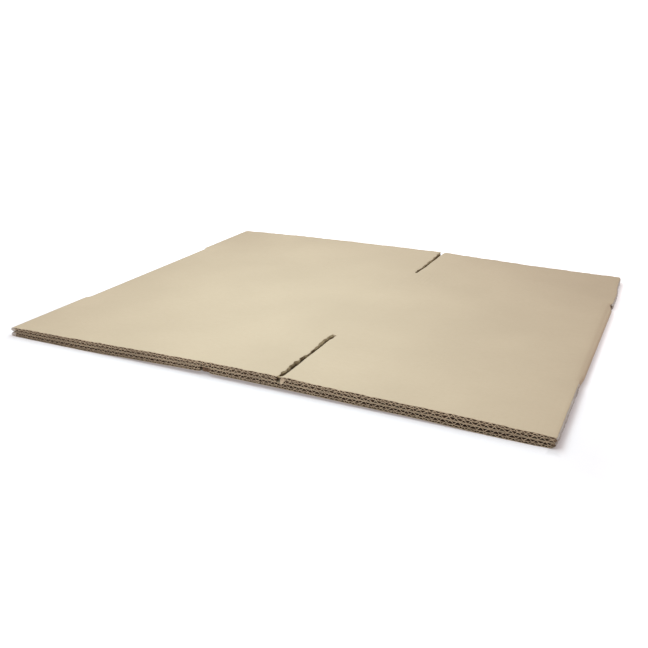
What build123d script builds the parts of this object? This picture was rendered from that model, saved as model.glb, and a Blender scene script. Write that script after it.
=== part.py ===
from build123d import *
import math
import os

# A slotted shipping box of double-wall corrugated board, knocked down flat, in millimetres.
# Its blank is four side panels in a row, short, long, short, long, with a flap at each end of
# every panel. It is folded in half at two creases and glued into a flat tube: a long and a short
# panel lie on top, and the other two under them. X runs across the panels, Y along the flutes
# and Z up. The origin is the middle of the underside.

# Blank
long_panel = 405.5          # long side panel, from crease to crease
short_panel = 306.5         # short side panel, from crease to crease
body_height = 321.0         # side panels, between the two rows of flap creases
flap_depth = 150.2          # end flaps, about half of the short panel

# Board, from its outer face to its inner face: liner, fine flute, liner, coarse flute, liner
liner = 0.35                # thickness of each flat paper
medium = 0.30               # thickness of each fluted paper
fine_height = 2.15          # room for the fine flute between its liners
fine_pitch = 6.40           # one wave of the fine flute
coarse_height = 3.10        # room for the coarse flute
coarse_pitch = 7.95         # one wave of the coarse flute

# Folds and creases
layer_gap = 0.40            # air between the two layers of board
fold_wall = 2.4             # board left at the tip of a fold, where it is crushed
fold_crush = 20.0           # width of the crushed board at a fold, where the flutes are closed
score_width = 5.0           # groove pressed into the inner face at the flat crease
score_depth = 1.6
mark_width = 4.0            # shallow valley that a flap crease leaves in the outer face
mark_depth = 0.2

# Slots between the flaps
fold_relief = 0.6           # how far the slot at a fold reaches past the crushed wall
slot_width = 6.0            # slot in the top layer, centred on the flat crease
joint_slot = 10.0           # slot in the lower layer, beside the glued joint
edge_crush = 8.5            # board beside a slot where the knife and the crease closed the flutes

# Glued joint in the lower layer: a crushed lap of the short panel, inside the long one
lap_width = 38.0
lap_thickness = 2.0
lap_taper = 12.0            # each end of the lap is cut back by this much at its free edge
lap_short = 3.0             # the lap ends this much before the flap creases
lap_bond = 0.15             # how deep the glued lap is pressed into the panel's inner liner
joint_gap = 3.0             # between the two panels' edges, under the lap

# How it lies: the lap inside lifts the middle, so the tube is gently arched
flat_rest = 90.0            # the short panel lies flat on the floor up to here
ridge_extra = 3.3           # the flat crease rises by the thickness of the lap and this

board = 3 * liner + fine_height + coarse_height
stack = 2 * board + layer_gap
fold_radius = stack / 2
fold_slot = fold_wall + fold_relief
width = long_panel + short_panel
depth = body_height + 2 * flap_depth
right_start = width - fold_radius
crease_x = long_panel
joint_x = short_panel
lap_tip = joint_x + lap_width
ridge_rise = lap_thickness + ridge_extra


def along(x, knots):
    """Height at x on a line through the knots, which are given from left to right."""
    for (x0, z0), (x1, z1) in zip(knots, knots[1:]):
        if x <= x1:
            break
    return z0 + (z1 - z0) * (x - x0) / (x1 - x0)


def arch(x):
    """Rise of the upper layer, and of the short panel under it, above a flat lie."""
    return along(x, [(0, 0), (flat_rest, 0), (crease_x, ridge_rise), (right_start, 0)])


def hang(x):
    """Rise of the long lower panel, which is held down by the lap at the joint."""
    drop = lap_thickness - lap_bond
    return arch(x) - along(x, [(joint_x, drop), (lap_tip, drop), (right_start, 0)])


def place(x, z):
    """Point of the section, at the front cut edge."""
    return Vector(x - width / 2, -depth / 2, z)


def run(start, end, lie, level):
    """Points of one face of the board from start to end, with each bend between them."""
    bends = [flat_rest, crease_x] if lie is arch else sorted([crease_x, lap_tip])
    stations = [start, *[x for x in bends if start < x < end], end]
    return [place(x, lie(x) + level) for x in stations]


def outline():
    """Cut edge of the folded tube: both layers, the two folds and the open joint."""
    left_edge = joint_x - joint_gap / 2
    right_edge = joint_x + joint_gap / 2
    half_score = score_width / 2
    inner = board + layer_gap
    outer_top = run(fold_radius, right_start, arch, stack)
    inside = [
        *reversed(run(right_edge, right_start, hang, 0)),
        *run(right_edge, right_start, hang, board),
        place(width - fold_wall, fold_radius),
        *reversed(run(crease_x + half_score, right_start, arch, inner)),
        place(crease_x, arch(crease_x) + inner + score_depth),
        *reversed(run(fold_radius, crease_x - half_score, arch, inner)),
        place(fold_wall, fold_radius),
        *run(fold_radius, left_edge, arch, board),
        *reversed(run(fold_radius, left_edge, arch, 0)),
    ]
    right_fold = ThreePointArc(outer_top[-1], place(width, fold_radius), inside[0])
    left_fold = ThreePointArc(inside[-1], place(0, fold_radius), outer_top[0])
    return Wire([*Polyline(*outer_top).edges(), right_fold, *Polyline(*inside).edges(), left_fold])


def flute_row(start, end, pitch, room, base):
    """Channels above and below one fluted paper, as triangles along its run of waves."""
    slope = (room - medium) / (pitch / 2)
    apex = medium / 2 + medium / 2 * math.hypot(1, slope)
    half = (room - apex) / slope
    waves = int((end - start) / pitch)
    first = (start + end - waves * pitch) / 2 + pitch / 2
    channels = []
    for step in range(2 * waves - 1):
        middle = first + step * pitch / 2
        if step % 2:
            corners = [(-half, 0), (half, 0), (0, room - apex)]
        else:
            corners = [(-half, room), (0, apex), (half, room)]
        points = [place(middle + dx, base(middle + dx) + dz) for dx, dz in corners]
        channels.append(Wire(Polyline(*points, close=True).edges()))
    return channels


def board_flutes(start, end, lie, level, outer_face_up):
    """Both rows of flutes of one panel. The fine flute is next to the box's outer face."""
    if outer_face_up:
        fine = level + liner + coarse_height + liner
        coarse = level + liner
    else:
        fine = level + liner
        coarse = level + liner + fine_height + liner
    rows = flute_row(start, end, fine_pitch, fine_height, lambda x: lie(x) + fine)
    return rows + flute_row(start, end, coarse_pitch, coarse_height, lambda x: lie(x) + coarse)


def flutes():
    """Channels of all four panels, closed at the folds and beside the slots."""
    inner = board + layer_gap
    beside_slot = slot_width / 2 + edge_crush
    beside_joint = joint_slot / 2 + edge_crush
    return [
        *board_flutes(fold_crush, crease_x - beside_slot, arch, inner, True),
        *board_flutes(crease_x + beside_slot, width - fold_crush, arch, inner, True),
        *board_flutes(fold_crush, joint_x - beside_joint, arch, 0, False),
        *board_flutes(joint_x + beside_joint, width - fold_crush, hang, 0, False),
    ]


def filled(points):
    """Flat face inside a closed loop of straight lines."""
    return Face(Wire(Polyline(*points, close=True).edges()))


def flap_block(x0, x1, side, z0, z1):
    """Block over the whole depth of the flaps, with X counted from the tip of the left fold."""
    box = Box(x1 - x0, 2 * flap_depth, z1 - z0)
    return Pos((x0 + x1 - width) / 2, side * depth / 2, (z0 + z1) / 2) * box


def slots():
    """Everything that the knives take out of the flaps, at the front and the back."""
    tools = []
    over = 2 * stack
    between = board + layer_gap / 2
    top = (crease_x - slot_width / 2, crease_x + slot_width / 2)
    lower = (joint_x - joint_slot / 2, joint_x + joint_slot / 2)
    for side in (-1, 1):
        tools.append(flap_block(-fold_slot, fold_slot, side, -stack, over))
        tools.append(flap_block(width - fold_slot, width + fold_slot, side, -stack, over))
        tools.append(flap_block(*top, side, arch(crease_x) + between, over))
        tools.append(flap_block(*lower, side, -stack, arch(joint_x) + between))
    return tools


def valley(start, end, lie, level, y, inward):
    """Shallow valley along X in one outer face, as a prism for each straight stretch."""
    prisms = []
    points = run(start, end, lie, level)
    for here, there in zip(points, points[1:]):
        offsets = [(-mark_width, -inward), (mark_width, -inward), (0, inward)]
        corners = [Vector(here.X, y + dy, here.Z + dz * mark_depth) for dy, dz in offsets]
        stretch = there - here
        prisms.append(extrude(filled(corners), stretch.length, stretch.normalized()))
    return prisms


def crease_marks():
    """What the flap creases leave in the outer faces of all four panels."""
    left = fold_radius + mark_width / 4
    right = width - left
    marks = []
    for y in (-body_height / 2, body_height / 2):
        marks += valley(left, right, arch, stack, y, -1)
        marks += valley(left, joint_x - joint_gap / 4, arch, 0, y, 1)
        marks += valley(joint_x + joint_gap / 4, right, hang, 0, y, 1)
    return marks


def glue_lap():
    """Crushed lap of the short panel, glued inside the long lower panel."""
    root = joint_x - joint_gap / 2 - edge_crush / 2
    half = body_height / 2 - lap_short
    top = run(root, lap_tip, arch, board)
    under = [point - Vector(0, 0, lap_thickness) for point in reversed(top)]
    strip = extrude(filled([*top, *under]), depth, (0, 1, 0))
    corners = [(root, -half), (joint_x, -half), (lap_tip, lap_taper - half)]
    corners += [(x, -y) for x, y in reversed(corners)]
    plan = filled([Vector(x - width / 2, y, 0) for x, y in corners])
    return strip & extrude(plan, 2 * stack, (0, 0, 1))


def flattened_box():
    tube = extrude(Face(outline(), flutes()), depth, (0, 1, 0))
    return tube - [*slots(), *crease_marks()] + glue_lap()


os.makedirs("parts", exist_ok=True)
export_step(flattened_box(), "parts/flattened_box.step")
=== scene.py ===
from functools import partial
import math

import bmesh
import bpy
import numpy as np
from mathutils import Matrix, Vector


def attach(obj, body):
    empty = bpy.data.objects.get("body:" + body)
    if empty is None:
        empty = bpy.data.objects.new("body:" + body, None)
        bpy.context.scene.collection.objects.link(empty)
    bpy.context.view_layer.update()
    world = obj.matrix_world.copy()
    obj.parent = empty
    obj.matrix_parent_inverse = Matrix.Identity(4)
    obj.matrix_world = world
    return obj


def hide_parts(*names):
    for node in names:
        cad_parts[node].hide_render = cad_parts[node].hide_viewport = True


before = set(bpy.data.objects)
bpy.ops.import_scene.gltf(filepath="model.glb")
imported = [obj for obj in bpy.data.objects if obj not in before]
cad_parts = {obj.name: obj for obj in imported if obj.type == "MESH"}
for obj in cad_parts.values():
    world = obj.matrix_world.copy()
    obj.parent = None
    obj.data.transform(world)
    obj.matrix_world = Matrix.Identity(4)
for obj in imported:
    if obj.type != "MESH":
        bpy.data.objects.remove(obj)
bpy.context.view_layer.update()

# The knocked-down box is made the way the mill and the box maker make it. Every paper of the
# double-wall board is laid out flat, cut and slotted, and settle() then moves it to where the
# folded box has it. Lengths are in millimetres up to the moment a mesh is made.
mm = 0.001
half_width = 353.0          # from the middle to the cut ends of the flaps
half_depth = 310.7
flap_line = 160.5           # the flap creases, from the middle
crease_width = 8.0          # over which the side panels pass into the flaps
crease_x = 49.5             # flat crease between the two upper panels
crease_half = 1.2           # half of the scored line at that crease
joint_x = -50.6             # glued joint of the two lower panels
joint_half = 5.6            # half of the wider slot beside the glued joint
joint_gap = 1.5             # half of the gap between the two lower panels, under the lap
lap_reach = 38.0
lap_root = 6.0              # how far back past the joint the lap is crushed
lap_half = 157.5            # from the middle to the ends of the lap, at the joint
lap_taper = 12.0            # how far each end is cut back at the lap's free edge
lap_thickness = 2.0
lap_air = 0.45              # between the lap and the upper layer
fold_tip = 356.0            # from the middle to the tip of a fold
fold_round = 11.0           # how far in from its tip a fold is rounded
fold_start = fold_tip - fold_round

# Papers of the board, from its inner face to its outer face
stack = 13.0                # both layers of board and the air between them
board = 6.30
liner = 0.35
medium = 0.30
coarse_room = 3.10
fine_room = 2.15
coarse_pitch = 7.95
fine_pitch = 6.40
coarse_base = liner
middle_base = coarse_base + coarse_room
fine_base = middle_base + liner
outer_base = fine_base + fine_room
swell = 0.8                 # how far a board springs open where nothing presses on it
thinnest = 1.6              # board left where it is pressed hardest
layer_air = 0.4             # least air between the two layers
liner_burr = 0.10           # how far the knife has spread a paper's cut edge, on each side
flute_burr = 0.38

# How far in from a cut the knife has pressed the board down, and how deep
left_end_press = (5, 0.8)
right_end_press = (4, 0.7)
lip_press = (4.5, 0.6)
inner_press = (6, 0.8)      # the inner faces, at both ends and at the joint
left_under_press = (6, 1.2)
joint_under_press = (6, 1.0)
dent_reach = 4              # dents along the front and back cut edges
dent_depth = 0.16
small_tooth = 2.6           # from one tear to the next along a ragged cut
large_tooth = 3.8
fray_reach = 3              # how far in from the front and back edges a liner's face is frayed

# Worn corners, and where the board is slack
lip_corner_reach = (9, 10)  # front corners of the lips, across and along
left_lip_wear = 0.9
right_lip_wear = 0.4
bevel_reach = 8             # worn off under the right end
bevel_depth = 0.8
bevel_corner_reach = 24     # and how much more at its front corner
bevel_corner_depth = 3.4
mouth_reach = (4, 14)       # sag of the lower layer in the mouth of the front slot
mouth_sag = 0.8
washboard_middle = (84, 130)
washboard_reach = 26
washboard_depth = 0.3

# How full a fold is: a share of its round past half_width, beside the slots and further in
slot_bulge = 0.2
left_bulge = 0.8
right_bulge = 1.15
right_bulge_slant = 0.35    # fuller at the back than at the front
bulge_run = 26

# How the two layers lie: rise of the upper one above a flat lie, at the front and back edges
front_lie_left = [(-353, -0.6), (-230, 1.6), (-120, 4.2), (-40, 5.7), (49.5, 6.1)]
front_lie_right = [(49.5, 6.1), (90, 5.1), (150, 4.1), (212, 3.4), (280, 2.2), (353, 0.2)]
back_lie_left = [(-353, 2.4), (-250, 4.7), (-176.5, 5.5), (49.5, 5.9)]
back_lie_right = [(49.5, 5.7), (212, 0.7), (353, -1.5)]

# How far below that the lower layer hangs, on each side of the joint
short_slack = [(-353, 0), (-290, 0.8), (-230, 1.2), (-175, 1.1), (-120, 0.6), (-50.6, 0.4)]
long_slack = [(-50.6, 1.2), (-12, 1.2), (49.5, 1.6), (100, 1.3), (150, 0.9), (220, 1.1),
              (280, 1.8), (353, 0.6)]

# How far the flaps reach past half_width, at the left end and at the right end from front to back
left_excess = 1.9
right_excess = [(0, 0.4), (1, 3.8), (220, 3.8), (250, 1.0), (311, -0.2)]

# Edges of the upper slots, from the flat crease: how far each lip of the outer liner is torn back
# at each distance from the cut edge
front_left_lip = [(0, -3.3), (7, -3.7), (12, -4.6), (22, -3), (28, -3.9), (37, -4.5), (43, -3.6),
                  (48, -4.7), (52, -3.2), (58, -4.2), (70.5, -4.5), (72.5, -1.9), (88, -2.2),
                  (93, -3), (109, -2.9), (113, -4.2), (138, -4.1), (145, -4.5), (146.5, -2.5),
                  (150.2, -2.1)]
front_right_lip = [(0, -0.7), (2.6, -0.1), (5, 2.1), (12, 2.5), (50, 2.5), (57, 2.0), (90, 2.2),
                   (115, 2.0), (132, 1.6), (137, 3.0), (150.2, 3.2)]
back_left_lip = [(0, -1.0), (16, -1.5), (24, -0.5), (56, 0.2), (80, -0.3), (104, 0.4),
                 (128, -0.5), (144, -0.5), (150.2, 0.5)]
back_right_lip = [(0, 5.0), (30, 4.3), (48, 4.8), (64, 4.2), (80, 4.2), (104, 4.8), (128, 3.4),
                  (140, 3.0), (146, 2.8), (150.2, 2.0)]


def ease(share):
    """Share from 0 to 1 with a soft start and a soft end."""
    share = np.clip(share, 0, 1)
    return share * share * (3 - 2 * share)


def straight(x, knots):
    """Height at x on straight lines through knots of (place, height)."""
    return np.interp(x, *zip(*knots))


def smooth(x, knots):
    """Height at x on a smooth line through knots of (place, height)."""
    places, heights = np.array(knots, float).T
    slopes = np.gradient(heights, places)
    i = np.clip(np.searchsorted(places, x) - 1, 0, len(places) - 2)
    step = places[i + 1] - places[i]
    t = (x - places[i]) / step
    level = (2 * t**3 - 3 * t**2 + 1) * heights[i] + (3 * t**2 - 2 * t**3) * heights[i + 1]
    return level + step * ((t**3 - 2 * t**2 + t) * slopes[i] + (t**3 - t**2) * slopes[i + 1])


# How the folded box lies


def rise(x, y):
    """Rise of the upper layer: the lap inside lifts it towards the flat crease."""
    front = np.where(x < crease_x, smooth(x, front_lie_left), smooth(x, front_lie_right))
    back = np.where(x < crease_x, smooth(x, back_lie_left), smooth(x, back_lie_right))
    return front + (back - front) * (y + half_depth) / (2 * half_depth)


def slack(x):
    """How much lower than that the lower layer hangs. The lap holds the long panel down."""
    return np.where(x < joint_x, straight(x, short_slack), straight(x, long_slack))


def in_body(y):
    """1 over the side panels, between the flap creases, and 0 over the flaps."""
    return ease((flap_line - np.abs(y)) / crease_width + 0.5)


def lip(side, y):
    """Place of the left (-1) or right (1) lip of the upper slots at y."""
    front, back = (front_left_lip, back_left_lip) if side < 0 else (front_right_lip, back_right_lip)
    from_edge = half_depth - np.abs(y)
    offset = np.where(y < 0, straight(from_edge, front), straight(from_edge, back))
    return crease_x + np.where(np.abs(y) < flap_line, side * crease_half, offset)


def flap_end(side, y):
    """How far the flaps reach at the left (-1) or right (1) end, from the middle."""
    return half_width + (left_excess if side < 0 else straight(y, right_excess))


def washboard(x, y):
    """Ripples beside the back slot, where the flutes show through the pressed outer liner."""
    across = (x - washboard_middle[0]) / washboard_reach
    along = (y - washboard_middle[1]) / washboard_reach
    patch = np.exp(-across**2 - along**2) * (x > crease_x + 4)
    return washboard_depth * patch * np.sin(2 * np.pi * x / fine_pitch)


def dented(x, y, turn):
    """Small dents that the knife has left along the front and back cut edges."""
    near = np.exp((np.abs(y) - half_depth) / dent_reach)
    uneven = np.sin(x / 2.7 + turn) + np.sin(x / 6.1 + 1.7 * turn) + np.sin(x / 15 + 0.6)
    return dent_depth * near * (0.8 + uneven)


def pressed(distance, reach, depth):
    """How far a face is pressed in beside a cut, at a distance from it."""
    return depth * np.clip(1 - np.abs(distance) / reach, 0, 1) ** 2


def fold_height(x):
    """Half the height of a fold at x, which is a flattened half round."""
    past = np.clip(np.abs(x) - fold_start, 0, fold_round) / fold_round
    return stack / 2 * np.sqrt(np.clip(1 - past**2, 0, 1))


def lie(x, y):
    """Top of the box, its underside, and the room that each of its two layers has."""
    top = stack + rise(x, y)
    floor = np.maximum(rise(x, y) - slack(x), 0)
    return top, floor, np.minimum(board + swell, (top - floor - layer_air) / 2)


def upper_faces(x, y):
    """Inner and outer face of the upper layer."""
    top, _, thick = lie(x, y)
    flap = 1 - in_body(y)
    right, left = flap_end(1, y) - x, flap_end(-1, y) + x
    over = np.where(x > 0, pressed(right, *right_end_press), pressed(left, *left_end_press))
    beside = np.where(x < crease_x, lip(-1, y) - x, x - lip(1, y)).clip(0)
    over = over + pressed(beside, *lip_press) + dented(x, y, 0)
    across, along = lip_corner_reach
    corner = pressed(beside, across, 1) * pressed(half_depth + y, along, 1)
    over = over + np.where(x < crease_x, left_lip_wear, right_lip_wear) * corner
    outer = top + washboard(x, y) - flap * over - in_body(y) * (stack / 2 - fold_height(x))
    inner = top - thick + flap * (pressed(half_width - np.abs(x), *inner_press) + dented(x, y, 2))
    return np.minimum(inner, outer - thinnest), outer


def lower_faces(x, y):
    """Inner and outer face of the lower layer, whose outer face is underneath."""
    _, floor, thick = lie(x, y)
    flap = 1 - in_body(y)
    near_corner = np.clip(1 - (half_depth + y) / bevel_corner_reach, 0, 1)
    bevel = bevel_depth + bevel_corner_depth * near_corner
    bevel = bevel * pressed(flap_end(1, y) - x, bevel_reach, 1)
    under = np.where(x > 0, bevel, pressed(flap_end(-1, y) + x, *left_under_press))
    beside = (np.abs(x - joint_x) - joint_half).clip(0)
    under = under + pressed(beside, *joint_under_press) + 0.5 * dented(x, y, 4)
    outer = floor + flap * under + in_body(y) * (stack / 2 - fold_height(x))
    at_cuts = pressed(half_width - np.abs(x), *inner_press) + pressed(beside, *inner_press)
    across, along = (x - crease_x + 1.5) / mouth_reach[0], (half_depth + y) / mouth_reach[1]
    inner = floor + thick - flap * at_cuts - mouth_sag * np.exp(-across**2 - along**2)
    return np.maximum(inner, outer + thinnest), outer


layer_faces = {"upper": upper_faces, "lower": lower_faces}


def points(x, y, z):
    """Grid of points from the grids of their coordinates."""
    return np.stack(np.broadcast_arrays(x, y, z), axis=-1)


def settle(layer, x, y, height):
    """Points of a flat board, height above its inner face, as the folded box has them."""
    inner, outer = layer_faces[layer](x, y)
    return points(x, y, inner + (outer - inner) * height / board)


# Rows and columns in which a paper is laid out


def spread(start, end, count):
    """Places from start to end, closer together near both."""
    return start + (end - start) * (1 - np.cos(np.linspace(0, np.pi, count + 1))) / 2


flap_rows = np.concatenate([[0, 0.5, 1.3, 2.6, 4.6], np.arange(7, 147, 2.9), [148.6, 150.2]])
body_rows = spread(-flap_line, flap_line, 22)[1:-1]
row_places = np.concatenate([flap_rows - half_depth, body_rows, half_depth - flap_rows[::-1]])
over_body = np.abs((row_places[1:] + row_places[:-1]) / 2) < flap_line
between_creases = row_places[np.append(over_body, False) | np.insert(over_body, 0, False)]
cut_columns = np.array([0, 0.4, 1.0, 1.9, 3.1, 4.8])
dense_part = 0.42           # share of a panel's columns that its dense stretch gets


def columns(length, count, dense):
    """Shares of a panel's width, close together near both sides and over the first dense mm."""
    near = cut_columns / length
    first = dense / length if dense else dense_part
    steps = np.linspace(0, 1, count + 3 - 2 * len(near))
    even = np.interp(steps, [0, dense_part, 1], [near[-1], first, 1 - near[-1]])
    return np.concatenate([near[:-1], even, 1 - near[-2::-1]])


def shares(wide, deep):
    """Shares of the way across and along a small grid of points."""
    return np.linspace(0, 1, wide)[:, None], np.linspace(0, 1, deep)[None, :]


def torn(seed, size):
    """Ragged line that a blunt slotting knife leaves, 0 to size deep at each row."""
    rough = np.random.RandomState(seed)
    tooth = small_tooth if size < 2 else large_tooth
    places = np.arange(-half_depth - 5, half_depth + 5, tooth)
    places = places + rough.uniform(-0.3, 0.3, len(places)) * tooth
    depths = rough.uniform(0, 1, len(places)) ** 1.6
    return size * np.interp(row_places, places, depths)


def lip_edge(side, seed, size, back=0.0):
    """Torn edge of the left (-1) or right (1) lip of the upper slots, set back by so much."""
    flap = 1 - in_body(row_places)
    return lip(side, row_places) + side * flap * (back + torn(seed, size))


def flap_edge(side, seed, size, back=0.0):
    """Torn edge of the flaps at the left (-1) or right (1) end."""
    flap = 1 - in_body(row_places)
    reach = flap_end(side, row_places) - half_width
    return side * (half_width - back + flap * (reach - torn(seed, size)))


def joint_edge(side, seed, size, back=0.0):
    """Edge of the short (-1) or long (1) lower panel at the glued joint."""
    flap = 1 - in_body(row_places)
    wide = joint_half - joint_gap + back + torn(seed, size)
    return joint_x + side * (joint_gap + flap * wide)


def panel_paper(layer, start, end, count, base, thick, fray=0.0, dense=0.0):
    """Both sides of one paper over a panel, from the edge start to the edge end, as grids."""
    share = columns(abs(end[0] - start[0]), count, dense)[:, None]
    x = start + (end - start) * share
    y = np.broadcast_to(row_places, x.shape)
    burr = liner_burr * (np.abs(y) > half_depth - 0.3)
    rough = np.random.RandomState(count)
    ragged = fray * rough.uniform(0, 1, (len(x), 2)) ** 1.5
    near_cut = np.clip(1 - (half_depth - np.abs(y)) / fray_reach, 0, 1)
    y = y - np.sign(y) * np.where(y < 0, ragged[:, :1], ragged[:, 1:]) * near_cut
    return settle(layer, x, y, base + thick + burr), settle(layer, x, y, base - burr)


def bulged(side, x, y):
    """Place across the tip of a fold, which stands out less beside the slots."""
    full = left_bulge if side < 0 else right_bulge + right_bulge_slant * y / flap_line
    share = slot_bulge + full * ease((flap_line - np.abs(y)) / bulge_run)
    return np.where(x > half_width, half_width + (x - half_width) * share, x)


def round_fold(side, turn, y, insets):
    """Grids round the tip of a fold, from the upper layer to the lower one, so far inside it."""
    turn, y = turn[:, None], y[None, :]
    lift = rise(side * half_width, y) * np.clip(np.cos(turn), 0, 1)
    grids = []
    for inset in insets:
        x = side * bulged(side, fold_start + (fold_round - inset) * np.sin(turn), y)
        z = stack / 2 + (stack / 2 - inset) * np.cos(turn) + lift
        grids.append(points(x, y, z))
    return grids


def fold_turn(side):
    """The outer liner turned round the tip of a fold."""
    start = math.asin((half_width - fold_start) / fold_round)
    return round_fold(side, np.linspace(start, np.pi - start, 14)[1:-1], row_places, (0, liner))


# Meshes


def sheet_mesh(outer, inner, finishes, present=None):
    """Closed sheet between two grids of points.

    Its outer face, its cut edges and its inner face have a finish each."""
    wide, rows = outer.shape[:2]
    count = wide * rows
    at = np.arange(count).reshape(wide, rows)
    present = np.ones((wide - 1, rows - 1), bool) if present is None else present
    outer_finish, cut_finish, inner_finish = finishes
    faces, numbers = [], []
    for i in range(wide - 1):
        for j in range(rows - 1):
            if not present[i, j]:
                continue
            a, b, c, d = at[i, j], at[i + 1, j], at[i + 1, j + 1], at[i, j + 1]
            faces += [(a, b, c, d), (d + count, c + count, b + count, a + count)]
            numbers += [outer_finish, inner_finish]
            neighbours = ((i, j - 1), (i + 1, j), (i, j + 1), (i - 1, j))
            for (p, q), (k, m) in zip(((a, b), (b, c), (c, d), (d, a)), neighbours):
                joined = 0 <= k < wide - 1 and 0 <= m < rows - 1 and present[k, m]
                if not joined:
                    faces.append((q, p, p + count, q + count))
                    numbers.append(cut_finish)
    places = np.concatenate([outer.reshape(-1, 3), inner.reshape(-1, 3)]) * mm
    mesh = bpy.data.meshes.new("sheet")
    mesh.from_pydata(places.tolist(), [], [tuple(int(v) for v in face) for face in faces])
    mesh.polygons.foreach_set("material_index", numbers)
    return mesh


def strip_mesh(rings, finish, end_finish):
    """Closed strip through rings of points, with flat ends that have a finish of their own."""
    count, around = rings.shape[:2]
    at = np.arange(count * around).reshape(count, around)
    faces = [[int(v) for v in at[0, ::-1]], [int(v) for v in at[-1]]]
    for j in range(count - 1):
        for k in range(around):
            n = (k + 1) % around
            faces.append([int(v) for v in (at[j, k], at[j, n], at[j + 1, n], at[j + 1, k])])
    mesh = bpy.data.meshes.new("strip")
    mesh.from_pydata((rings.reshape(-1, 3) * mm).tolist(), [], faces)
    mesh.polygons.foreach_set("material_index", [end_finish] * 2 + [finish] * (len(faces) - 2))
    return mesh


def gather(name, meshes, finishes):
    """One closed piece from several meshes, with its faces turned outwards."""
    whole = bmesh.new()
    for mesh in meshes:
        whole.from_mesh(mesh)
        bpy.data.meshes.remove(mesh)
    bmesh.ops.delete(whole, geom=[v for v in whole.verts if not v.link_faces], context="VERTS")
    bmesh.ops.recalc_face_normals(whole, faces=whole.faces)
    mesh = bpy.data.meshes.new(name)
    whole.to_mesh(mesh)
    whole.free()
    for finish in finishes:
        mesh.materials.append(finish)
    mesh.polygons.foreach_set("use_smooth", [True] * len(mesh.polygons))
    mesh.set_sharp_from_angle(angle=math.radians(40))
    piece = bpy.data.objects.new(name, mesh)
    bpy.context.scene.collection.objects.link(piece)
    return piece


# Nodes, for the finishes, the flutes and the studio


def feed(tree, socket, value):
    """Give a node's input a value, or the output of another node."""
    if isinstance(value, bpy.types.NodeSocket):
        tree.links.new(value, socket)
    else:
        socket.default_value = value


def made(tree, kind, inputs, output=0, **settings):
    """One output of a new node with these settings and inputs."""
    node = tree.nodes.new(kind)
    for name, value in settings.items():
        setattr(node, name, value)
    for name, value in inputs.items():
        feed(tree, node.inputs[name], value)
    return node.outputs[output]


def worked_out(tree, operation, *values):
    """A number worked out from others, which are outputs of nodes or plain numbers."""
    node = tree.nodes.new("ShaderNodeMath")
    node.operation = operation
    for socket, value in zip(node.inputs, values):
        feed(tree, socket, value)
    return node.outputs[0]


def spanned(tree, value, low, high, to_low=0.0, to_high=1.0):
    """A number led from low..high to to_low..to_high, and held there beyond both."""
    ends = {"From Min": low, "From Max": high, "To Min": to_low, "To Max": to_high}
    return made(tree, "ShaderNodeMapRange", {"Value": value, **ends}, "Result")


def split(tree, vector):
    """The coordinates X, Y and Z of a vector."""
    node = tree.nodes.new("ShaderNodeSeparateXYZ")
    tree.links.new(vector, node.inputs["Vector"])
    return node.outputs


# Finishes


def shader(name):
    """A new material and its principled shader."""
    finish = bpy.data.materials.new(name)
    finish.use_nodes = True
    nodes = finish.node_tree.nodes
    nodes.clear()
    surface = nodes.new("ShaderNodeBsdfPrincipled")
    output = nodes.new("ShaderNodeOutputMaterial")
    finish.node_tree.links.new(surface.outputs["BSDF"], output.inputs["Surface"])
    return finish, surface


def toned(colour, share=1.0):
    """A colour as a node takes it, darkened to a share of its brightness."""
    return (*(share * c for c in colour), 1)


def kraft_paper(name, light, dark, rough, fibre_bump, ripple, painted_floor_shade=0.0):
    """Kraft paper: cloudy stock, fibres along the web and a trace of the flutes beneath.

    The last share says how much of the dark colour is painted on towards the floor, as painted
    shade."""
    finish, paper = shader(name)
    tree = finish.node_tree
    span = partial(spanned, tree)
    place = made(tree, "ShaderNodeTexCoord", {}, "Object")

    def noise(scale, stretch, detail, roughness=0.5):
        stretched = made(tree, "ShaderNodeMapping", {"Vector": place, "Scale": stretch})
        look = {"Scale": scale, "Detail": detail, "Roughness": roughness}
        return made(tree, "ShaderNodeTexNoise", {"Vector": stretched, **look}, "Fac")

    def blend(first, second, share):
        mixed = {"Factor": share, "A": first, "B": second}
        return made(tree, "ShaderNodeMix", mixed, "Result", data_type="RGBA")

    clouds = span(noise(7, (1, 1, 1), 3), 0.35, 0.65)
    fibres = span(noise(420, (0.3, 1, 1), 4, 0.65), 0.32, 0.68)
    flecks = span(noise(900, (0.35, 1, 1), 2), 0.70, 0.78, 0.0, 0.5)
    middle = tuple((a + b) / 2 for a, b in zip(light, dark))
    stock = blend(toned(light), toned(middle), clouds)
    stock = blend(stock, toned(dark), span(fibres, 0, 1, 0.0, 0.2))
    stock = blend(stock, toned(dark, 0.55), flecks)
    # Painted shade: the paper turns darker towards the floor, where shade falls under the box
    if painted_floor_shade:
        near_floor = span(split(tree, place)["Z"], 16 * mm, 2 * mm, 0.0, painted_floor_shade)
        stock = blend(stock, toned(dark, 0.8), near_floor)
    feed(tree, paper.inputs["Base Color"], stock)
    feed(tree, paper.inputs["Roughness"], span(fibres, 0, 1, rough - 0.05, rough + 0.05))
    paper.inputs["Specular IOR Level"].default_value = 0.25

    # The wave texture repeats every 2 pi / 20 metres at scale 1
    bands = {"Vector": place, "Scale": 2 * math.pi / 20 / (fine_pitch * mm), "Distortion": 0.6}
    flutes_beneath = made(tree, "ShaderNodeTexWave", bands, "Fac", bands_direction="X")
    rippled = made(tree, "ShaderNodeBump", {
        "Strength": 1.0, "Distance": ripple, "Height": flutes_beneath}, "Normal")
    fibrous = made(tree, "ShaderNodeBump", {
        "Strength": 1.0, "Distance": fibre_bump, "Height": fibres, "Normal": rippled}, "Normal")
    feed(tree, paper.inputs["Normal"], fibrous)
    return finish


# The inner faces and the flutes' faces are darker than the outer face, and the cut rims of the same
# papers paler: partly the papers' own tones, partly painted shade inside the board and painted light
# on the rims
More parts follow.
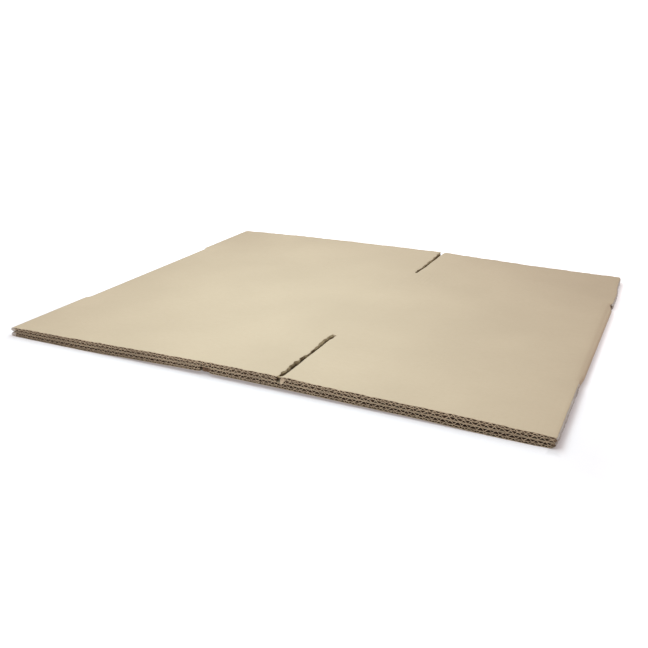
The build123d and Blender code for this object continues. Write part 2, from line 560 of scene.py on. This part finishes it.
kraft_face = kraft_paper(
    "kraft_face", (0.309, 0.229, 0.159), (0.268, 0.197, 0.135), 0.82, 0.015 * mm, 0.03 * mm)
inside_face = kraft_paper(
    "inside_face", (0.22, 0.17, 0.115), (0.15, 0.115, 0.075), 0.85, 0.03 * mm, 0.03 * mm)
fluting_paper = kraft_paper(
    "fluting_paper", (0.145, 0.091, 0.056), (0.088, 0.056, 0.033), 0.9, 0.06 * mm, 0.0)
# cut_paper and cut_liner carry painted shade near the floor
cut_paper = kraft_paper(
    "cut_paper", (0.48, 0.356, 0.246), (0.28, 0.208, 0.142), 0.92, 0.1 * mm, 0.0, 0.6)
cut_liner = kraft_paper(
    "cut_liner", (0.38, 0.28, 0.194), (0.21, 0.155, 0.103), 0.92, 0.1 * mm, 0.0, 0.6)
squashed_paper = kraft_paper(
    "squashed_paper", (0.19, 0.129, 0.068), (0.09, 0.061, 0.032), 0.92, 0.15 * mm, 0.0)
crushed_rim = kraft_paper(
    "crushed_rim", (0.36, 0.315, 0.29), (0.25, 0.217, 0.20), 0.92, 0.15 * mm, 0.0)


# Flutes


def fluting_tree():
    """Fluted paper over a flat panel: a grid waved along X, given its thickness and closed."""
    tree = bpy.data.node_groups.new("fluting", "GeometryNodeTree")
    sizes = ("Length", "Depth", "Pitch", "Room", "Paper", "Unevenness", "Seed", "Burr")
    sockets = [("Geometry", "NodeSocketGeometry"), *((name, "NodeSocketFloat") for name in sizes)]
    sockets += [("Steps", "NodeSocketInt"), ("Rows", "NodeSocketInt")]
    sockets += [("Finish", "NodeSocketMaterial")]
    for name, kind in sockets:
        tree.interface.new_socket(name, in_out="INPUT", socket_type=kind)
    tree.interface.new_socket("Geometry", in_out="OUTPUT", socket_type="NodeSocketGeometry")
    given = tree.nodes.new("NodeGroupInput").outputs
    result = tree.nodes.new("NodeGroupOutput").inputs["Geometry"]
    add, number = partial(made, tree), partial(worked_out, tree)

    def along_normal(amount):
        away = tree.nodes.new("ShaderNodeVectorMath")
        away.operation = "SCALE"
        feed(tree, away.inputs[0], add("GeometryNodeInputNormal", {}))
        feed(tree, away.inputs["Scale"], amount)
        return away.outputs[0]

    # A flat grid, with its rows closer together near both cut edges
    waves = number("DIVIDE", given["Length"], given["Pitch"])
    across = number("ADD", number("ROUND", number("MULTIPLY", waves, given["Steps"])), 1)
    grid = add("GeometryNodeMeshGrid", {"Size X": given["Length"], "Size Y": given["Depth"],
                                        "Vertices X": across, "Vertices Y": given["Rows"]}, "Mesh")
    place = split(tree, add("GeometryNodeInputPosition", {}))
    half = number("DIVIDE", given["Depth"], 2)
    out = number("DIVIDE", number("ABSOLUTE", place["Y"]), half)
    near_edge = number("SUBTRACT", 1, number("POWER", number("SUBTRACT", 1, out), 3.2))
    row = number("MULTIPLY", number("MULTIPLY", near_edge, half), number("SIGN", place["Y"]))

    # Waves across it, which stray a little from an even pitch
    drift = add("ShaderNodeCombineXYZ", {"X": number("MULTIPLY", place["X"], 0.06),
                                         "Y": number("MULTIPLY", row, 0.006)})
    uneven = {"Vector": drift, "W": given["Seed"], "Scale": 1.0, "Detail": 2.0}
    stray = add("ShaderNodeTexNoise", uneven, "Fac", noise_dimensions="4D")
    shift = number("MULTIPLY", number("SUBTRACT", stray, 0.5), given["Unevenness"])
    turned_by = number("MULTIPLY", number("ADD", place["X"], shift), 2 * math.pi)
    reach = number("DIVIDE", number("SUBTRACT", given["Room"], given["Paper"]), 2)
    height = number("MULTIPLY", number("SINE", number("DIVIDE", turned_by, given["Pitch"])), reach)
    waved_to = add("ShaderNodeCombineXYZ", {"X": place["X"], "Y": row, "Z": height})
    waved = add("GeometryNodeSetPosition", {"Geometry": grid, "Position": waved_to})

    # Both sides of the paper, spread where the knife has cut it
    from_middle = number("ABSOLUTE", split(tree, add("GeometryNodeInputPosition", {}))["Y"])
    at_cut = number("GREATER_THAN", from_middle, number("SUBTRACT", half, 0.3))
    burr = number("MULTIPLY", at_cut, given["Burr"])
    half_paper = number("ADD", number("MULTIPLY", given["Paper"], 0.5), burr)
    under = add("GeometryNodeSetPosition", {
        "Geometry": waved, "Offset": along_normal(number("MULTIPLY", half_paper, -1))})
    lifted = tree.nodes.new("GeometryNodeExtrudeMesh")
    feed(tree, lifted.inputs["Mesh"], under)
    feed(tree, lifted.inputs["Offset Scale"], given["Paper"])
    feed(tree, lifted.inputs["Individual"], False)
    over = add("GeometryNodeSetPosition", {
        "Geometry": lifted.outputs["Mesh"], "Selection": lifted.outputs["Top"],
        "Offset": along_normal(number("MULTIPLY", burr, 2))})
    both = tree.nodes.new("GeometryNodeJoinGeometry")
    for side in (over, add("GeometryNodeFlipFaces", {"Mesh": under})):
        tree.links.new(side, both.inputs[0])
    closed = add("GeometryNodeMergeByDistance", {"Geometry": both.outputs[0], "Distance": 0.0005})
    finished = add("GeometryNodeSetMaterial", {"Geometry": closed, "Material": given["Finish"]})
    tree.links.new(add("GeometryNodeRealizeInstances", {"Geometry": finished}), result)
    return tree


fluting = fluting_tree()

# The flutes of each panel: layer, and where they start and end
fluting_panels = [
    ("upper", -349.5, crease_x - 5.4),
    ("upper", crease_x + 5.2, 351.8),
    ("lower", -349.5, joint_x - joint_half - 1.2),
    ("lower", joint_x + joint_half + 1.2, 351.2),
]


def fluted(layer, start, end, pitch, room, base, seed):
    """Fluted paper of one panel, baked flat and then settled into its layer."""
    blank = bpy.data.objects.new("blank", bpy.data.meshes.new("blank"))
    bpy.context.scene.collection.objects.link(blank)
    waver = blank.modifiers.new("fluting", "NODES")
    waver.node_group = fluting
    values = {"Length": end - start, "Depth": 2 * half_depth - 0.3, "Pitch": pitch,
              "Room": room + 0.06, "Paper": medium, "Unevenness": 2.4, "Seed": seed,
              "Burr": flute_burr, "Steps": 10, "Rows": 14, "Finish": fluting_paper}
    for item in fluting.interface.items_tree:
        if item.in_out == "INPUT" and item.name in values:
            waver[item.identifier] = values[item.name]
    seen = blank.evaluated_get(bpy.context.evaluated_depsgraph_get())
    mesh = bpy.data.meshes.new_from_object(seen)
    bpy.data.objects.remove(blank)
    flat = np.empty(len(mesh.vertices) * 3)
    mesh.vertices.foreach_get("co", flat)
    x, y, z = flat.reshape(-1, 3).T

    # A row of points goes to each side of the flap creases, where the board bends
    rows_from = [0, 70, 176.6, 250, half_depth]
    rows_to = [0, flap_line - 7.5, flap_line + 7.5, 250, half_depth]
    y = np.sign(y) * np.interp(np.abs(y), rows_from, rows_to)

    # The knife has pushed the flutes sideways and down beside the cut edges
    near = np.exp((np.abs(y) - half_depth) / 5)
    wobble = np.sin(x / 1.2 + 5 * seed) + np.sin(x / 2.3 + 3 * seed)
    height_left = 1 - 0.1 * near * (1 + np.sin(x / 3.4 + 7 * seed))
    x, z = x + 0.4 * near * wobble, z * height_left

    # Their cut ends come to one plane, and have the second finish
    y = np.where(np.abs(y) > half_depth - 0.5, np.sign(y) * (half_depth - 0.1), y)
    laid = settle(layer, x + (start + end) / 2, y, z + base + room / 2) * mm
    mesh.vertices.foreach_set("co", laid.ravel())
    middles = np.empty(len(mesh.polygons) * 3)
    mesh.polygons.foreach_get("center", middles)
    cut = np.abs(middles.reshape(-1, 3)[:, 1]) > (half_depth - 0.15) * mm
    mesh.materials.clear()
    mesh.polygons.foreach_set("material_index", cut.astype(np.int32))
    return mesh


def flutes(pitch, room, base, seed):
    """One row of flutes in all four panels."""
    return [fluted(*panel, pitch, room, base, seed + k) for k, panel in enumerate(fluting_panels)]


# The liners, whose finishes are numbered: face, cut edge and, on the outer liner, inner face


def outer_sheet():
    """Outer liner, in one piece from the joint, round the left fold, over the top and back under."""
    paper = (outer_base, liner)
    fray, dense = 0.9, 64
    parts = [
        panel_paper("lower", joint_edge(-1, 3, 0.5), flap_edge(-1, 4, 0.8), 20, *paper),
        [side[::-1] for side in fold_turn(-1)],
        panel_paper("upper", flap_edge(-1, 5, 0.8), lip_edge(-1, 6, 2.2, -0.65), 128, *paper, fray),
        panel_paper("upper", lip_edge(1, 7, 0.3), flap_edge(1, 8, 0.6), 98, *paper, fray, dense),
        fold_turn(1),
        panel_paper("lower", flap_edge(1, 9, 0.8), joint_edge(1, 10, 0.5), 30, *paper),
    ]
    outer = np.concatenate([part[0] for part in parts])
    inner = np.concatenate([part[1] for part in parts])
    ends = np.cumsum([len(part[0]) for part in parts])
    present = np.ones((outer.shape[0] - 1, outer.shape[1] - 1), bool)
    for first, last in ((ends[0] - 1, ends[1]), (ends[2] - 1, ends[2]), (ends[3] - 1, ends[4])):
        present[first:last, ~over_body] = False
    return sheet_mesh(outer, inner, (0, 1, 2), present)


def inside_sheets(base, seed):
    """A middle or inner liner, which ends at the folds."""
    back = 1.0
    sheets = [
        ("upper", flap_edge(-1, seed, 0.8, back), lip_edge(-1, seed + 1, 1.0, 0.6), 26),
        ("upper", lip_edge(1, seed + 2, 1.0, 0.8), flap_edge(1, seed + 3, 0.8, back), 22),
        ("lower", flap_edge(-1, seed + 4, 0.8, back), joint_edge(-1, seed + 5, 0.8, 0.5), 18),
        ("lower", joint_edge(1, seed + 6, 0.8, 0.5), flap_edge(1, seed + 7, 0.8, back), 24),
    ]
    return [sheet_mesh(*panel_paper(*sheet, base, liner), (0, 1, 0)) for sheet in sheets]


def torn_flake():
    """Flake of the outer liner that hangs over the cut edge in the mouth of the front slot."""
    root_height, hang = 17.7, 6.8
    across, down = shares(8, 8)
    left = crease_x + 0.3 + 1.3 * (1 - down) ** 2 + 1.4 * down**4
    right = crease_x + 5.8 - 1.8 * down**3
    x = left + (right - left) * across
    y = -half_depth + 0.7 - 2.4 * down**2 + 0.2 * np.sin(7 * across)
    z = root_height - hang * down + 0.3 * np.sin(5 * across + 2)
    return sheet_mesh(points(x, y - 0.3, z + 0.15), points(x, y, z), (0, 0, 0))


# Crushed board, whose finishes are numbered in the order of crushed_finishes
crushed_finishes = [squashed_paper, cut_paper, crushed_rim, fluting_paper]
squashed, edge, rim, dark = range(4)


def fold_core(side):
    """Crushed board inside a fold, between the creases."""
    past_half, core_inner = 0.12, 3.4   # its turn goes on a little past half, into the board
    turn = np.linspace(-past_half, np.pi + past_half, 16)
    grids = round_fold(side, turn, between_creases, (liner, core_inner))
    return sheet_mesh(*grids, (squashed, edge, squashed))


def crease_core():
    """Board squashed by the scoring wheel at the flat crease, which closes the slots' inner ends."""
    left_reach, right_reach, clear = 9, 8, 0.02
    groove_depth, groove_reach = 1.4, 2.5
    across = np.linspace(crease_x - left_reach, crease_x + right_reach, 9)
    x, y = np.meshgrid(across, between_creases, indexing="ij")
    outer = settle("upper", x, y, outer_base - clear)
    inner = settle("upper", x, y, liner + clear)
    inner[..., 2] += groove_depth * np.exp(-((x - crease_x) / groove_reach) ** 2)
    return sheet_mesh(outer, inner, (squashed, edge, squashed))


def glue_lap():
    """Crushed lap of the short panel, inside the long one, with its ends cut back."""
    x = joint_x - lap_root + np.linspace(0, 1, 12)[:, None] * (lap_reach + lap_root)
    half = lap_half - lap_taper * np.clip((x - joint_x) / lap_reach, 0, 1)
    y = half * spread(-1, 1, 24)[None, :]
    top = stack + rise(x, y) - board - lap_air
    bottom = top - lap_thickness
    return sheet_mesh(points(x, y, top), points(x, y, bottom), (squashed, edge, squashed))


def mouth_bridge():
    """Squashed board that still bridges the front slot just behind its mouth."""
    wide, deep, thick = 9, 3.4, 0.6
    set_in, sag = 0.7, 0.7
    across, along = shares(10, 5)
    x = crease_x - 5.5 + wide * across
    y = -half_depth + 0.9 + deep * along + 0.5 * np.sin(9 * across)
    uneven = 0.1 * np.sin(12 * across + 5 * along)
    top = stack + rise(x, y) - set_in - sag * np.sin(np.pi * across) + uneven
    return sheet_mesh(points(x, y, top), points(x, y, top - thick), (squashed, squashed, squashed))


def joint_shade_plug():
    """Dark block in the joint slot of the lower flaps behind its front mouth: painted shade for the
    dark hole there.
    """
    behind_edge, deep, high = 3.8, 24.2, 7.6
    overlap = 1.1               # of the slot's width, so that its sides sink into the board
    across, along = shares(12, 6)
    x = joint_x + joint_half * overlap * (2 * across - 1)
    y = -half_depth + behind_edge + deep * along + 0.7 * np.sin(2.3 * x)
    top = stack + rise(x, y) - board - 0.3
    bottom = top - high + 0.4 * np.sin(1.7 * x)
    # All its faces have the dark finish, as painted shade
    return sheet_mesh(points(x, y, top), points(x, y, bottom), (dark, dark, dark))


def along_y(place):
    """A line along Y at one place."""
    return lambda y: np.full_like(y, place)


def right_lip(y):
    """Line of the board under the right lip. Its liner alone reaches further into the slot."""
    least = 1.9
    return np.maximum(lip(1, y), crease_x + least)


# Sides of the flaps that the knife has squashed: layer, line of the cut, the way that the tip of
# the board points (-1 or 1), how far in the squashed board reaches, how far its tip stands past
# the line, its finish, where it starts behind the cut edge, and the finish of its ends
# The strips beside the joint, and the ends that sit back behind the cut edge, have the dark finish
# as painted shade
squashed_sides = [
    ("upper", partial(lip, -1), 1, 4.2, 1.3, squashed, 5.0, dark),
    ("upper", right_lip, -1, 4.4, 0.2, squashed, 2.2, dark),
    ("upper", along_y(-half_width), -1, 4.4, 3.0, rim, 0.1, rim),
    ("upper", partial(flap_end, 1), 1, 5.4, 1.0, rim, 1.2, dark),
    ("lower", along_y(joint_x - joint_half), 1, 4.2, 0.2, dark, 7.0, dark),
    ("lower", along_y(joint_x + joint_half), -1, 4.4, 0.2, dark, 7.0, dark),
    ("lower", along_y(-half_width), -1, 4.4, 3.6, rim, 0.1, rim),
    ("lower", partial(flap_end, 1), 1, 5.4, 0.6, rim, 1.2, dark),
]


def crushed_side(front, seed, layer, line, side, reach, nose, finish, start, end_finish):
    """Squashed board along one side of a front or back flap, from the cut edge to the crease."""
    rough = np.random.RandomState(seed)
    behind = np.concatenate([[start], np.arange(start + 1.4, 149, 2.2), [150.1]])
    row = behind - half_depth if front else half_depth - behind
    lively = min(nose, 1.3) if finish == squashed else 0.4
    wander = np.interp(behind, np.arange(0, 160, 4), rough.uniform(-1.4, 1.0, 40)) * lively

    # Its tip grows behind the cut edge, over 14 mm beside the upper slots and over 5 mm elsewhere
    if finish == squashed:
        grown = behind / 14
    else:
        grown = behind / 5 + (0.9 if end_finish == rim else 0.3)
    tips = nose * np.minimum(1, grown) + wander

    # Round section of the squashed board, from its outer face round the tip to its inner face
    turn = np.linspace(0, np.pi, 9)
    out = np.sin(turn) ** 0.7
    up = np.sign(np.cos(turn)) * np.abs(np.cos(turn)) ** 0.6
    rings = []
    for cut, y, tip in zip(line(row), row, tips):
        inner, outer = layer_faces[layer](np.array([cut - side * 0.4]), np.array([y]))
        middle, half = (inner[0] + outer[0]) / 2, abs(outer[0] - inner[0]) / 2 - liner * 0.9
        root = cut - side * reach
        grain = rough.uniform(-0.7, 0.5, 9) * out
        x = root + side * (reach + tip + grain) * out
        z = middle + half * up + rough.uniform(-0.08, 0.08, 9)
        ring = [(a, y, b) for a, b in zip(x, z)]
        rings.append(ring + [(root, y, middle - 0.8 * half), (root, y, middle + 0.8 * half)])
    return strip_mesh(np.array(rings), finish, end_finish)


def crushed_sides():
    """Squashed board along both sides of all eight flaps."""
    strips = []
    for front, first_seed in ((True, 101), (False, 201)):
        for k, squashed_side in enumerate(squashed_sides):
            strips.append(crushed_side(front, first_seed + k, *squashed_side))
    return strips


# The folded sheet

outer_liner = gather(
    "outer_liner", [outer_sheet(), torn_flake()], [kraft_face, cut_liner, inside_face])
middle_liner = gather("middle_liner", inside_sheets(middle_base, 21), [fluting_paper, cut_liner])
inner_liner = gather("inner_liner", inside_sheets(0, 41), [inside_face, cut_liner])
flute_finishes = [fluting_paper, cut_paper]
fine_flutes = gather("fine_flutes", flutes(fine_pitch, fine_room, fine_base, 1.3), flute_finishes)
coarse_flutes = gather(
    "coarse_flutes", flutes(coarse_pitch, coarse_room, coarse_base, 7.7), flute_finishes)
crushed_board = gather("crushed_board", [
    fold_core(-1), fold_core(1), crease_core(), glue_lap(), mouth_bridge(), joint_shade_plug(),
    *crushed_sides(),
], crushed_finishes)

pieces = [outer_liner, middle_liner, inner_liner, fine_flutes, coarse_flutes, crushed_board]
for piece in pieces:
    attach(piece, "root")
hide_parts("flattened_box")


# Floor, light and camera, in metres


def studio_white():
    """White floor with a painted glow of its own, graded by place so that it paints soft shadows
    round the box.
    """
    finish, white = shader("studio_white")
    tree = finish.node_tree
    number, span = partial(worked_out, tree), partial(spanned, tree)
    place = split(tree, made(tree, "ShaderNodeTexCoord", {}, "Object"))
    # Painted light: the glow is least beside and before the box and grows towards the back
    beside_box = number("SUBTRACT", number("ABSOLUTE", place["X"]), 0.36)
    before_box = number("SUBTRACT", number("MULTIPLY", place["Y"], -1), 0.31)
    behind_box = number("SUBTRACT", place["Y"], 0.45)
    away = number("MAXIMUM", number("MAXIMUM", beside_box, before_box), behind_box)
    farther_off = span(away, 0.03, 0.6, 0, 0.95)
    farther_back = span(place["Y"], -0.31, 0.31, 0.25, 0.66)
    painted_glow = number("ADD", farther_off, farther_back)

    # Painted shadow: it glows less under the right end of the box
    left_of_end = span(place["X"], 0.345, 0.352, 1, 0)
    right_of_end = span(place["X"], 0.355, 0.361, 0.6, 1)
    past_depth = span(number("ABSOLUTE", place["Y"]), 0.308, 0.325, 0, 1)
    outside_painted_shadow = number("MAXIMUM", number("MAXIMUM", left_of_end, right_of_end), past_depth)
    feed(tree, white.inputs["Emission Strength"], number("MULTIPLY", painted_glow, outside_painted_shadow))
    white.inputs["Emission Color"].default_value = (1, 0.98, 1, 1)
    white.inputs["Base Color"].default_value = (0.41, 0.37, 0.375, 1)
    white.inputs["Roughness"].default_value = 0.9
    white.inputs["Specular IOR Level"].default_value = 0.1
    return finish


def floor_and_wall():
    """Floor with an upright wall far behind the box."""
    wide, front, back, wall = 30, -30, 12, 2.5
    mesh = bpy.data.meshes.new("studio_floor")
    mesh.from_pydata([(-wide, front, 0), (wide, front, 0), (wide, back, 0), (-wide, back, 0),
                      (wide, back, wall), (-wide, back, wall)], [], [(0, 1, 2, 3), (3, 2, 4, 5)])
    mesh.materials.append(studio_white())
    ground = bpy.data.objects.new("studio_floor", mesh)
    bpy.context.scene.collection.objects.link(ground)
    return ground


def ceiling_panel():
    """Soft light close above the box."""
    light = bpy.data.lights.new("ceiling_panel", "AREA")
    light.shape = "RECTANGLE"
    light.size, light.size_y = 1.3, 0.3
    light.energy = 10.5
    light.color = (0.687, 0.942, 1)
    panel = bpy.data.objects.new("ceiling_panel", light)
    panel.location = (-0.068, -0.144, 0.618)
    panel.rotation_euler = (0, 0, -1.2)
    bpy.context.scene.collection.objects.link(panel)


def studio_room():
    """Even light from all round, brighter from the front than from the back."""
    room = bpy.data.worlds.new("studio_room")
    room.use_nodes = True
    tree = room.node_tree
    toward_back = split(tree, made(tree, "ShaderNodeTexCoord", {}, "Generated"))["Y"]
    light = tree.nodes["Background"].inputs
    feed(tree, light["Strength"], spanned(tree, toward_back, -0.7, 0.7, 1.42, 0.87))
    light["Color"].default_value = (1, 0.947, 0.908, 1)
    bpy.context.scene.world = room
    bpy.context.scene.view_settings.view_transform = "Standard"


def photo_camera():
    """Camera fitted to the corners, the slots and the flutes of the photographed box."""
    frame_pixels = 648
    focal_pixels = 787.66
    sight_across, sight_down = 312.86, 324.84
    sight = Vector((-0.40437, 0.84916, -0.33972))
    right = Vector((0.90194, 0.43181, 0.00578))
    above = Vector((-0.15161, 0.30407, 0.94051))
    lens = bpy.data.cameras.new("camera")
    lens.sensor_width = 36
    lens.lens = focal_pixels / frame_pixels * lens.sensor_width
    lens.shift_x = (frame_pixels / 2 - sight_across) / frame_pixels
    lens.shift_y = (sight_down - frame_pixels / 2) / frame_pixels
    lens.clip_start = 0.01
    camera = bpy.data.objects.new("camera", lens)
    turned = Matrix((right, above, -sight)).transposed().to_4x4()
    camera.matrix_world = Matrix.Translation((0.4319, -1.0279, 0.3744)) @ turned
    bpy.context.scene.collection.objects.link(camera)
    return camera


studio_floor = floor_and_wall()
ceiling_panel()
studio_room()
bpy.context.scene.camera = photo_camera()

bpy.context.view_layer.update()
